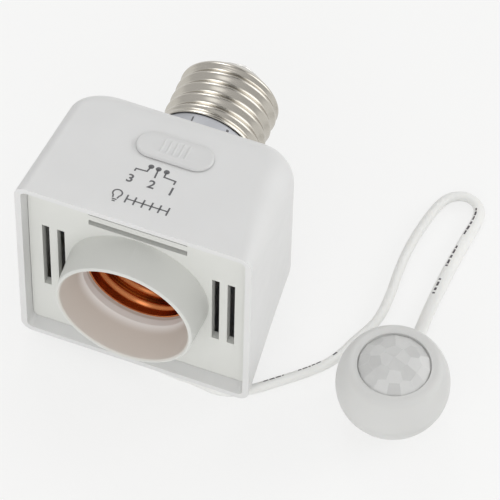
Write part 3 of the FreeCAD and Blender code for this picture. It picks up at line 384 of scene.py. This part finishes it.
def top_point(x, y):
    """A point just over the sloping top, in metres."""
    return at(x, y, TOP_Z - TOP_TAPER * y + PRINT_LIFT)


def ribbon(points, width):
    """A flat stroke along points on the top, with square corners kept by a mitre."""
    verts, faces = [], []
    for i, p in enumerate(points):
        p = Vector(p)
        before = (p - Vector(points[i - 1])).normalized() if i else None
        after = (Vector(points[i + 1]) - p).normalized() if i < len(points) - 1 else None
        along = ((before or after) + (after or before)).normalized()
        normal = Vector((-along.y, along.x))
        reach = width / 2 / max(0.5, normal.dot(Vector((-(before or after).y, (before or after).x))))
        for sign in (-1, 1):
            q = p + normal * sign * reach
            verts.append(top_point(q.x, q.y))
    for i in range(len(points) - 1):
        faces.append((2 * i, 2 * i + 1, 2 * i + 3, 2 * i + 2))
    return verts, faces


def disc(x, y, radius, count=20):
    """A round dot on the top."""
    turns = [2 * math.pi * i / count for i in range(count)]
    verts = [top_point(x + radius * math.cos(a), y + radius * math.sin(a)) for a in turns]
    return verts, [tuple(range(count))]


def gather(name, parts):
    """One flat piece from several lists of points and faces."""
    verts, faces = [], []
    for v, f in parts:
        base = len(verts)
        verts += v
        faces += [tuple(base + k for k in face) for face in f]
    return piece(name, verts, faces, smooth=False)


def numeral(text, x, y, size):
    """A plain numeral laid on the top as a mesh, its middle at x, y."""
    curve = bpy.data.curves.new("numeral", "FONT")
    curve.body = text
    curve.size = 1.0
    curve.resolution_u = 4
    curve.fill_mode = "BOTH"
    curve.offset = 0.02
    carrier = bpy.data.objects.new("numeral", curve)
    bpy.context.scene.collection.objects.link(carrier)
    mesh = bpy.data.meshes.new_from_object(carrier)
    bpy.data.objects.remove(carrier)
    xs, ys = [v.co.x for v in mesh.vertices], [v.co.y for v in mesh.vertices]
    scale = size / (max(ys) - min(ys))
    cx, cy = (max(xs) + min(xs)) / 2, (max(ys) + min(ys)) / 2
    verts = [top_point(x + (v.co.x - cx) * scale, y + (v.co.y - cy) * scale) for v in mesh.vertices]
    faces = [tuple(p.vertices) for p in mesh.polygons]
    return verts, faces


DOTS = [(-2.83, 19.3), (-0.92, 19.22), (1.2, 19.1)]
DOT_RADIUS, LEADER, NUMERAL_HEIGHT = 0.72, 0.42, 2.7
marks = [disc(x, y, DOT_RADIUS) for x, y in DOTS]
marks += [ribbon([DOTS[0], (-3.2, 17.45), (-5.9, 17.3), (-6.0, 16.4)], LEADER),
          ribbon([DOTS[1], (-0.75, 16.1)], LEADER),
          ribbon([DOTS[2], (1.25, 17.3), (4.25, 17.1), (4.2, 15.9)], LEADER)]
marks += [numeral(text, x, y, NUMERAL_HEIGHT)
          for text, x, y in (("3", -6.0, 13.8), ("2", -0.6, 13.9), ("1", 4.5, 13.6))]
top_marks = gather("top_marks", marks)

# A plain lamp sign with a row of ticks, in place of the second line of print
BULB_X, BULB_Y, BULB_RADIUS, THIN = -6.9, 8.0, 1.15, 0.38
TICK_COUNT, TICK_X, TICK_PITCH = 6, -4.3, 2.1
bulb = [(BULB_X + BULB_RADIUS * math.cos(math.radians(a)), BULB_Y + BULB_RADIUS * math.sin(math.radians(a)))
        for a in range(-50, 231, 20)]
sign = [ribbon([(-6.35, 6.3), *bulb, (-7.45, 6.3)], THIN), ribbon([(-7.5, 5.9), (-6.3, 5.9)], THIN),
        ribbon([(-7.3, 5.3), (-6.5, 5.3)], THIN)]
for i in range(TICK_COUNT):
    x = TICK_X + TICK_PITCH * i
    sign += [ribbon([(x, 5.8), (x, 8.5)], LEADER)]
sign += [ribbon([(TICK_X, 7.15), (6.2, 7.15)], THIN)]
lamp_sign = gather("lamp_sign", sign)

# Sensor ball's upper half and lens
BALL_CENTRE = Vector((63.3, 11.25, 13.85))
BALL_RADIUS, BALL_WALL, BALL_SPLIT = 14.0, 1.4, -1.2
OPENING_RADIUS, OPENING_HEIGHT, OPENING_ROUND, OPENING_EDGE = 9.0, 8.15, 2.8, 0.18
RING_DEPTH, RING_INNER = 0.75, 8.7
LENS_RADIUS, LENS_EDGE, LENS_RISE = 8.78, 7.75, 3.9
LENS_SHIFT = Vector((0.06, -0.17, 0.0))
FACET_REACH = 0.985  # share of the dome's radius at which the facets lie
LENS_SEAM_WIDTH, LENS_SEAM_HEIGHT = 0.05, 0.04
LENS_ROWS, LENS_COLUMNS = 110, 260
# Each ring of facets: its tilt from the top, how many, and the first one's bearing, in degrees
FACET_RINGS = ((9.5, 4, 28.0), (25.0, 9, 8.0), (40.0, 15, 0.0))
# How far the ball leans and where to, in degrees, at the seam and at the rim
SEAM_TILT, RIM_TILT = (6.0, -74.2), (1.0, -62.0)


def tilted(tilt, azimuth):
    """The turn that leans the ball's axis by tilt towards azimuth, in degrees."""
    a, b = math.radians(tilt), math.radians(azimuth)
    axis = Vector((math.sin(a) * math.cos(b), math.sin(a) * math.sin(b), math.cos(a)))
    return Vector((0, 0, 1)).rotation_difference(axis)


seam_turn, rim_turn = tilted(*SEAM_TILT), tilted(*RIM_TILT)


def revolved(name, profile, segments=160):
    """A skin about the ball's axis through (radius, height) points, upright from the seam to the rim."""
    verts = []
    for r, z in profile:
        turn = seam_turn.slerp(rim_turn, ease((z - BALL_SPLIT - 0.5) / 5.0))
        for k in range(segments):
            a = 2 * math.pi * k / segments
            verts.append(at(*(BALL_CENTRE + turn @ Vector((r * math.cos(a), r * math.sin(a), z)))))
    return piece(name, verts, grid_faces(len(profile), segments))


def ball_profile():
    """The upper half in section: ball, rounded shoulder, flat rim, the lens's seat and the inside."""
    centre_r = math.sqrt((BALL_RADIUS - OPENING_ROUND) ** 2 - (OPENING_HEIGHT - OPENING_ROUND) ** 2)
    shoulder = math.atan2(OPENING_HEIGHT - OPENING_ROUND, centre_r)
    low = math.asin(BALL_SPLIT / BALL_RADIUS)
    profile = [(BALL_RADIUS * math.cos(a), BALL_RADIUS * math.sin(a))
               for a in spread(low, shoulder, math.radians(2.0))]
    base = OPENING_HEIGHT - OPENING_ROUND
    profile += [(centre_r + OPENING_ROUND * math.cos(a), base + OPENING_ROUND * math.sin(a))
                for a in spread(shoulder, math.pi / 2, math.radians(5.0))[1:]]
    edge = OPENING_EDGE
    profile += [(OPENING_RADIUS + edge, OPENING_HEIGHT)]
    profile += [(OPENING_RADIUS + edge - edge * math.sin(a), OPENING_HEIGHT - edge + edge * math.cos(a))
                for a in spread(0.0, math.pi / 2, math.radians(30))[1:]]
    profile += [(OPENING_RADIUS, OPENING_HEIGHT - RING_DEPTH), (RING_INNER, OPENING_HEIGHT - RING_DEPTH),
                (RING_INNER, LENS_EDGE - 1.4)]
    inner = BALL_RADIUS - BALL_WALL
    top = math.asin((LENS_EDGE - 1.4) / inner)
    profile += [(inner * math.cos(a), inner * math.sin(a)) for a in spread(top, low, math.radians(4.0))]
    return profile + [profile[0]]


ball_upper = revolved("ball_shell", ball_profile())
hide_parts("ball_upper")


def facet_planes():
    """Staggered rings of flat facets on the lens's dome, each given by its normal."""
    planes = []
    for tilt, count, shift in FACET_RINGS:
        for i in range(count):
            a, b = math.radians(tilt), math.radians(shift + 360.0 * i / count)
            planes.append(Vector((math.sin(a) * math.cos(b), math.sin(a) * math.sin(b), math.cos(a))))
    return planes


def lens_mesh():
    """The dome as flat facets that meet in slightly raised seams, and the facet that each face lies on."""
    planes = facet_planes()
    dome = (LENS_RADIUS ** 2 + LENS_RISE ** 2) / (2 * LENS_RISE)
    centre = LENS_EDGE + LENS_RISE - dome
    edge = math.asin(LENS_RADIUS / dome)
    verts, owner = [], []
    for i in range(LENS_ROWS + 1):
        tilt = edge * i / LENS_ROWS
        for k in range(LENS_COLUMNS):
            turn = 2 * math.pi * k / LENS_COLUMNS
            n = Vector((math.sin(tilt) * math.cos(turn), math.sin(tilt) * math.sin(turn), math.cos(tilt)))
            near = sorted((dome * FACET_REACH / n.dot(m), j) for j, m in enumerate(planes) if n.dot(m) > 0.5)
            (nearest, facet), (second, _) = near[:2]
            seam = max(0.0, 1.0 - (second - nearest) / LENS_SEAM_WIDTH)
            verts.append(n * (nearest + LENS_SEAM_HEIGHT * seam * seam) + Vector((0, 0, centre)))
            owner.append(facet)
    for z in (LENS_EDGE - 0.5, LENS_EDGE - 1.5):
        for k in range(LENS_COLUMNS):
            turn = 2 * math.pi * k / LENS_COLUMNS
            verts.append(Vector((LENS_RADIUS * math.cos(turn), LENS_RADIUS * math.sin(turn), z)))
            owner.append(owner[-LENS_COLUMNS])
    faces = [f[::-1] for f in grid_faces(LENS_ROWS + 3, LENS_COLUMNS)]
    placed = [at(*(BALL_CENTRE + rim_turn @ (v + LENS_SHIFT))) for v in verts]
    return placed, faces, [owner[f[0]] for f in faces]


lens_verts, lens_faces, lens_owner = lens_mesh()
lens = piece("lens", lens_verts, lens_faces)
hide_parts("sensor_lens")


# Materials
class Nodes:
    """A small builder for a material's nodes."""

    def __init__(self, name):
        self.material = bpy.data.materials.new(name)
        self.material.use_nodes = True
        self.tree = self.material.node_tree
        self.tree.nodes.clear()
        self.output = self.add("ShaderNodeOutputMaterial")
        self.shader = self.add("ShaderNodeBsdfPrincipled")
        self.link(self.shader.outputs["BSDF"], self.output.inputs["Surface"])
        self.place = self.add("ShaderNodeTexCoord").outputs["Object"]

    def add(self, kind, **values):
        node = self.tree.nodes.new(kind)
        for key, value in values.items():
            setattr(node, key, value)
        return node

    def link(self, a, b):
        self.tree.links.new(a, b)

    def set(self, **values):
        for key, value in values.items():
            self.shader.inputs[key.replace("_", " ")].default_value = value

    def noise(self, scale, detail=2.0):
        node = self.add("ShaderNodeTexNoise")
        node.inputs["Scale"].default_value = scale
        node.inputs["Detail"].default_value = detail
        self.link(self.place, node.inputs["Vector"])
        return node.outputs["Fac"]

    def ramp(self, factor, stops):
        node = self.add("ShaderNodeValToRGB")
        while len(node.color_ramp.elements) < len(stops):
            node.color_ramp.elements.new(0.5)
        for element, (position, colour) in zip(node.color_ramp.elements, stops):
            element.position = position
            element.color = (*colour, 1)
        self.link(factor, node.inputs["Fac"])
        return node.outputs["Color"]

    def math(self, operation, a, b=0.0):
        node = self.add("ShaderNodeMath", operation=operation)
        for socket, value in zip(node.inputs, (a, b)):
            if isinstance(value, (int, float)):
                socket.default_value = value
            else:
                self.link(value, socket)
        return node.outputs[0]

    def between(self, value, low, high, to_low=0.0, to_high=1.0, smooth=False):
        node = self.add("ShaderNodeMapRange")
        node.interpolation_type = "SMOOTHSTEP" if smooth else "LINEAR"
        for key, number in (("From Min", low), ("From Max", high), ("To Min", to_low), ("To Max", to_high)):
            node.inputs[key].default_value = number
        self.link(value, node.inputs["Value"])
        return node.outputs["Result"]

    def mix(self, factor, a, b):
        node = self.add("ShaderNodeMix", data_type="RGBA")
        self.link(factor, node.inputs["Factor"])
        for socket, value in ((node.inputs[6], a), (node.inputs[7], b)):
            if isinstance(value, tuple):
                socket.default_value = (*value, 1)
            else:
                self.link(value, socket)
        return node.outputs[2]

    def bump(self, height, distance, strength=0.5):
        node = self.add("ShaderNodeBump")
        node.inputs["Distance"].default_value = distance
        node.inputs["Strength"].default_value = strength
        self.link(height, node.inputs["Height"])
        self.link(node.outputs["Normal"], self.shader.inputs["Normal"])

    def colour(self, value):
        self.link(value, self.shader.inputs["Base Color"])

    def rough(self, factor, low, high):
        self.link(self.between(factor, 0.35, 0.65, low, high), self.shader.inputs["Roughness"])

    def radius(self):
        """Distance from the lamp's axis and place along it, in metres."""
        parts = self.add("ShaderNodeSeparateXYZ")
        self.link(self.place, parts.inputs[0])
        x = self.math("ADD", parts.outputs[0], ORIGIN_X * MM)
        z = self.math("SUBTRACT", parts.outputs[2], AXIS_Z * MM)
        square = self.math("ADD", self.math("MULTIPLY", x, x), self.math("MULTIPLY", z, z))
        return self.math("SQRT", square), parts.outputs[1]


def shades(colour, change):
    """A darker and a lighter shade of a colour."""
    return tuple(c * (1 - change) for c in colour), tuple(min(1.0, c * (1 + change)) for c in colour)


# Sizes of plastic's flow marks, gloss and grain, as noise scales, and the grain's depth in metres
FLOW_SCALE, GLOSS_SCALE, GRAIN_SCALE, GRAIN_DEPTH = 55.0, 240.0, 1800.0, 0.00001
PLASTIC_SPECULAR = 0.4


def moulded(name, colour, rough=(0.42, 0.5), change=0.012, soft=0.0):
    """Moulded plastic or rubber: faint flow marks, a fine grain and a little unevenness of gloss."""
    n = Nodes(name)
    dark, light = shades(colour, change)
    n.colour(n.ramp(n.noise(FLOW_SCALE, 3.0), ((0.35, dark), (0.65, light))))
    n.rough(n.noise(GLOSS_SCALE, 3.0), *rough)
    n.bump(n.noise(GRAIN_SCALE, 4.0), GRAIN_DEPTH, 0.6)
    n.set(Specular_IOR_Level=PLASTIC_SPECULAR)
    if soft:
        n.set(Subsurface_Weight=soft, Subsurface_Radius=(1.0, 0.9, 0.8), Subsurface_Scale=0.0025)
    return n


def metal(name, colour, rough=(0.2, 0.3), change=0.06, grain=0.000003):
    """Bare or plated metal with a fine grain and a little tarnish."""
    n = Nodes(name)
    dark, light = shades(colour, change)
    n.colour(n.ramp(n.noise(160.0, 4.0), ((0.3, dark), (0.7, light))))
    n.rough(n.noise(600.0, 4.0), *rough)
    n.bump(n.noise(2200.0, 3.0), grain, 0.4)
    n.set(Metallic=1.0)
    return n


WHITE = (0.715, 0.715, 0.71)
looks = {
    "housing": moulded("white_plastic", WHITE, soft=0.06),
    "knob": moulded("knob_plastic", (0.66, 0.66, 0.655), (0.34, 0.42)),
    "ball": moulded("ball_plastic", (0.635, 0.635, 0.622), (0.36, 0.44), soft=0.15),
    "boot": moulded("boot_rubber", (0.66, 0.66, 0.64), (0.55, 0.65)),
    "cord": moulded("cord_sheath", (0.83, 0.83, 0.81), (0.5, 0.6), soft=0.1),
    "neck": moulded("neck_plastic", (0.53, 0.54, 0.57), (0.3, 0.4)),
    "ink": moulded("grey_ink", (0.125, 0.125, 0.13), (0.5, 0.6)),
    "faint_ink": moulded("cord_ink", (0.10, 0.09, 0.10), (0.5, 0.6)),
    "black": moulded("black_plastic", (0.022, 0.022, 0.022), (0.4, 0.5)),
    "board": moulded("board", (0.05, 0.17, 0.07), (0.25, 0.4), change=0.1),
    "relay": moulded("relay_case", (0.02, 0.07, 0.26), (0.25, 0.35)),
    "film": moulded("film_case", (0.62, 0.38, 0.04), (0.25, 0.35)),
    "sleeve": moulded("elco_sleeve", (0.03, 0.03, 0.05), (0.25, 0.35)),
    "plug": moulded("plug_plastic", (0.80, 0.76, 0.62), (0.35, 0.45)),
    "red_lead": moulded("lead_supply", (0.50, 0.03, 0.02), (0.4, 0.5)),
    "black_lead": moulded("lead_lamp", (0.03, 0.03, 0.035), (0.4, 0.5)),
    "insulation": moulded("cap_insulation", (0.78, 0.76, 0.72), (0.2, 0.3)),
    "window": moulded("sensor_window", (0.02, 0.02, 0.025), (0.1, 0.16)),
    "steel": metal("steel", (0.60, 0.60, 0.60)),
    "tin": metal("switch_metal", (0.58, 0.57, 0.55), (0.3, 0.4)),
    "can": metal("sensor_can", (0.66, 0.62, 0.52), (0.2, 0.28)),
    "brass": metal("brass", (0.80, 0.60, 0.28)),
    "solder": metal("solder", (0.82, 0.81, 0.79), (0.45, 0.6), grain=0.00002),
    "nickel": metal("nickel", (0.56, 0.53, 0.475), (0.25, 0.27), change=0.02, grain=0.0000005),
    "copper": metal("copper", (0.70, 0.25, 0.095), (0.23, 0.26), change=0.03, grain=0.0000005),
}

COLLAR_WALL = (0.0163, 0.0171)  # radii in metres between which the painted light and shade of the collar's inside ends
COVER_WHITE = (0.70, 0.705, 0.675)
# Painted light and shade in the collar: warm light shining through the thin plastic with the copper's
# reflection, pale light on the shaded ring, and a brownish shade next to the copper
COLLAR_PAINTED_WARM_LIGHT, COLLAR_PAINTED_LIGHT, COLLAR_PAINTED_SHADE = (0.635, 0.575, 0.52), (0.97, 0.96, 0.94), (0.66, 0.62, 0.58)


def cover_look():
    """The front cover: white outside, and in the collar painted light and shade: warm light at the mouth,
    then pale light, then a brownish shade.
    """
    n = Nodes("cover_plastic")
    radius, y = n.radius()

    def along(start, end, smooth=True):
        """From 0 to 1 between two places along the lamp's axis, in mm."""
        return n.between(y, (start - ORIGIN_Y) * MM, (end - ORIGIN_Y) * MM, 0.0, 1.0, smooth)

    inside = n.math("MULTIPLY", n.between(radius, *COLLAR_WALL, 1.0, 0.0, True), along(4.8, 4.4, False))
    dark, light = shades(COVER_WHITE, 0.012)
    white = n.ramp(n.noise(FLOW_SCALE, 3.0), ((0.35, dark), (0.65, light)))
    # The collar's inside is painted with light and shade in place of the cover's own white
    collar = n.mix(along(3.5, 4.0), n.mix(along(-0.5, 2.6), COLLAR_PAINTED_WARM_LIGHT, COLLAR_PAINTED_LIGHT), COLLAR_PAINTED_SHADE)
    n.colour(n.mix(inside, white, collar))
    n.rough(n.noise(GLOSS_SCALE, 3.0), 0.4, 0.48)
    n.bump(n.noise(GRAIN_SCALE, 4.0), GRAIN_DEPTH, 0.6)
    n.set(Specular_IOR_Level=PLASTIC_SPECULAR)
    return n


def lens_look(name, tone):
    """Milky, slightly uneven lens plastic, in one tone of the facets' painted light and shade."""
    n = Nodes(name)
    dark, light = (tone, tone, tone * 0.985), (tone + 0.02, tone + 0.02, tone + 0.01)
    n.colour(n.ramp(n.noise(420.0, 3.0), ((0.35, dark), (0.65, light))))
    n.rough(n.noise(500.0, 3.0), 0.30, 0.38)
    n.bump(n.noise(1500.0, 2.0), 0.00002, 0.5)
    n.set(Subsurface_Weight=0.1, Subsurface_Radius=(1.0, 1.0, 0.95), Subsurface_Scale=0.0005)
    return n


def clear_look(name, colour, rough):
    """Clear glass or resin."""
    n = Nodes(name)
    n.colour(n.ramp(n.noise(300.0), ((0.3, colour), (0.7, tuple(min(1, c * 1.04) for c in colour)))))
    n.rough(n.noise(400.0), rough, rough + 0.06)
    n.set(Transmission_Weight=0.85, IOR=1.5)
    return n


# Painted light and shade for the lens's facets: three tones of one plastic
LENS_PAINTED_TONES = (0.535, 0.575, 0.62)
looks["cover"] = cover_look()
lens_shaded_copies = [lens_look("lens_plastic_%d" % number, tone) for number, tone in enumerate(LENS_PAINTED_TONES, 1)]
looks["lens"] = lens_shaded_copies[1]
looks["fuse"] = clear_look("fuse_glass", (0.86, 0.90, 0.90), 0.04)
looks["photocell"] = clear_look("photocell_case", (0.72, 0.70, 0.66), 0.08)

NODE_LOOKS = {
    "housing": "housing", "front_cover": "cover", "cap_neck": "neck", "switch_knob": "knob",
    "cap_shell": "nickel", "cap_insulator": "insulation", "cap_contact": "solder", "socket_body": "black",
    "socket_shell": "copper", "socket_contact": "brass", "contact_rivet": "brass", "socket_screws": "steel",
    "slide_switch": "tin", "switch_lever": "black", "switch_screws": "steel", "main_board": "board",
    "relay": "relay", "film_capacitor": "film", "electrolytic_capacitor": "sleeve", "fuse": "fuse",
    "driver_chip": "black", "sensor_plug": "plug", "board_screws": "steel", "supply_leads": "red_lead",
    "lamp_leads": "black_lead", "sensor_cord": "cord", "cord_boot": "boot", "ball_upper": "ball",
    "ball_lower": "ball", "sensor_lens": "lens", "lens_holder": "black", "sensor_board": "board",
    "sensor_screws": "steel", "pir_sensor": "can", "pir_window": "window", "photocell": "photocell",
    "ball_bushing": "boot"}


def dress(target, look):
    """Give a piece or node one of the looks."""
    target.data.materials.clear()
    target.data.materials.append(looks[look].material)


for node, look in NODE_LOOKS.items():
    dress(nodes[node], look)
for made, look in ((sensor_cord, "cord"), (cord_print, "faint_ink"), (cap, "nickel"), (neck, "neck"),
                   (copper, "copper"), (top_marks, "ink"), (lamp_sign, "ink"), (ball_upper, "ball"),
                   (knob, "knob")):
    dress(made, look)
for mark in neck_marks:
    dress(mark, "ink")

# Painted light and shade: the lens's facets catch the light unevenly, so neighbouring facets are given
# copies of the lens plastic in three tones
FACET_PAINTED_SHADES = (2, 0, 0, 1, 1, 0, 2, 1, 2, 0, 1, 2, 0, 1, 2, 0, 1, 2, 1, 0, 2, 1, 0, 1, 2, 0, 2, 1)
lens.data.materials.clear()
for lens_painted_shade in lens_shaded_copies:
    lens.data.materials.append(lens_painted_shade.material)
lens.data.polygons.foreach_set("material_index", [FACET_PAINTED_SHADES[k] for k in lens_owner])


# Floor and light
FLOOR_COLOUR, FLOOR_SEEN, FLOOR_SHARE = (0.88, 0.88, 0.87, 1), (0.965, 0.965, 0.96, 1), 0.75
FLOOR_HALF = 3


def floor_look():
    """A pale floor that the camera and mirrors see near white, and that keeps soft shadows."""
    material = bpy.data.materials.new("floor")
    material.use_nodes = True
    tree = material.node_tree
    tree.nodes.clear()
    output = tree.nodes.new("ShaderNodeOutputMaterial")
    plain = tree.nodes.new("ShaderNodeBsdfDiffuse")
    plain.inputs["Color"].default_value = FLOOR_COLOUR
    glow = tree.nodes.new("ShaderNodeEmission")
    glow.inputs["Color"].default_value = FLOOR_SEEN
    path = tree.nodes.new("ShaderNodeLightPath")
    seen = tree.nodes.new("ShaderNodeMath")
    seen.operation = "MAXIMUM"
    tree.links.new(path.outputs["Is Camera Ray"], seen.inputs[0])
    tree.links.new(path.outputs["Is Glossy Ray"], seen.inputs[1])
    share = tree.nodes.new("ShaderNodeMath")
    share.operation = "MULTIPLY"
    share.inputs[1].default_value = FLOOR_SHARE
    tree.links.new(seen.outputs[0], share.inputs[0])
    mix = tree.nodes.new("ShaderNodeMixShader")
    tree.links.new(share.outputs[0], mix.inputs[0])
    tree.links.new(plain.outputs[0], mix.inputs[1])
    tree.links.new(glow.outputs[0], mix.inputs[2])
    tree.links.new(mix.outputs[0], output.inputs["Surface"])
    return material


floor = bpy.data.objects.new("floor", bpy.data.meshes.new("floor"))
corners = [(x * FLOOR_HALF, y * FLOOR_HALF, 0) for x, y in ((-1, -1), (1, -1), (1, 1), (-1, 1))]
floor.data.from_pydata(corners, [], [(0, 1, 2, 3)])
floor.data.materials.append(floor_look())
bpy.context.scene.collection.objects.link(floor)

WORLD_LEVEL = 0.64
# What mirrors see besides the even world: a direction, the angles where its fade starts and ends, a factor
PATCHES = (((0.05, 0.54, 0.84), 8, 26, 0.1), ((-0.2, -0.62, 0.76), 3, 16, 2.8),
           ((-0.42, 0.68, 0.93), 9, 27, 6.5), ((0.95, 0.65, 0.5), 10, 38, 4.0))


def studio(level, patches):
    """An even pale world like a light tent, in which mirrors also see a dark opening and bright patches."""
    world = bpy.data.worlds.new("world")
    world.use_nodes = True
    tree = world.node_tree

    def product(a, b):
        node = tree.nodes.new("ShaderNodeMath")
        node.operation = "MULTIPLY"
        for socket, value in zip(node.inputs, (a, b)):
            if isinstance(value, float):
                socket.default_value = value
            else:
                tree.links.new(value, socket)
        return node.outputs[0]

    place = tree.nodes.new("ShaderNodeTexCoord").outputs["Generated"]
    seen = 1.0
    for way, near, far, factor in patches:
        dot = tree.nodes.new("ShaderNodeVectorMath")
        dot.operation = "DOT_PRODUCT"
        dot.inputs[1].default_value = Vector(way).normalized()
        tree.links.new(place, dot.inputs[0])
        fade = tree.nodes.new("ShaderNodeMapRange")
        fade.interpolation_type = "SMOOTHSTEP"
        fade.inputs["From Min"].default_value = math.cos(math.radians(far))
        fade.inputs["From Max"].default_value = math.cos(math.radians(near))
        fade.inputs["To Min"].default_value = 1.0
        fade.inputs["To Max"].default_value = factor
        tree.links.new(dot.outputs["Value"], fade.inputs["Value"])
        seen = product(seen, fade.outputs["Result"])
    mix = tree.nodes.new("ShaderNodeMix")
    mix.data_type = "FLOAT"
    mix.inputs[2].default_value = 1.0
    tree.links.new(tree.nodes.new("ShaderNodeLightPath").outputs["Is Glossy Ray"], mix.inputs[0])
    tree.links.new(seen, mix.inputs[3])
    background = tree.nodes["Background"]
    background.inputs["Color"].default_value = (1, 1, 1, 1)
    tree.links.new(product(mix.outputs[0], level), background.inputs["Strength"])
    bpy.context.scene.world = world


LIGHT_AIM = (0.0, 0.0, 0.03)


def softbox(name, place, size, power):
    """An area light that looks at the object, for matt surfaces only; place and size in metres."""
    light = bpy.data.lights.new(name, "AREA")
    light.shape = "RECTANGLE"
    light.size, light.size_y = size
    light.energy = power
    lamp = bpy.data.objects.new(name, light)
    lamp.location = place
    lamp.visible_glossy = False
    lamp.rotation_mode = "QUATERNION"
    lamp.rotation_quaternion = (Vector(LIGHT_AIM) - Vector(place)).to_track_quat("-Z", "Y")
    bpy.context.scene.collection.objects.link(lamp)


studio(WORLD_LEVEL, PATCHES)
softbox("right", (0.95, 0.65, 0.5), (0.7, 0.6), 4.6)
softbox("back", (-0.42, 0.68, 0.93), (0.42, 0.42), 1.2)
softbox("front", (0.05, -0.85, 0.75), (0.9, 0.5), 2.0)
softbox("low", (0.1, -1.0, 0.22), (1.0, 0.35), 2.2)
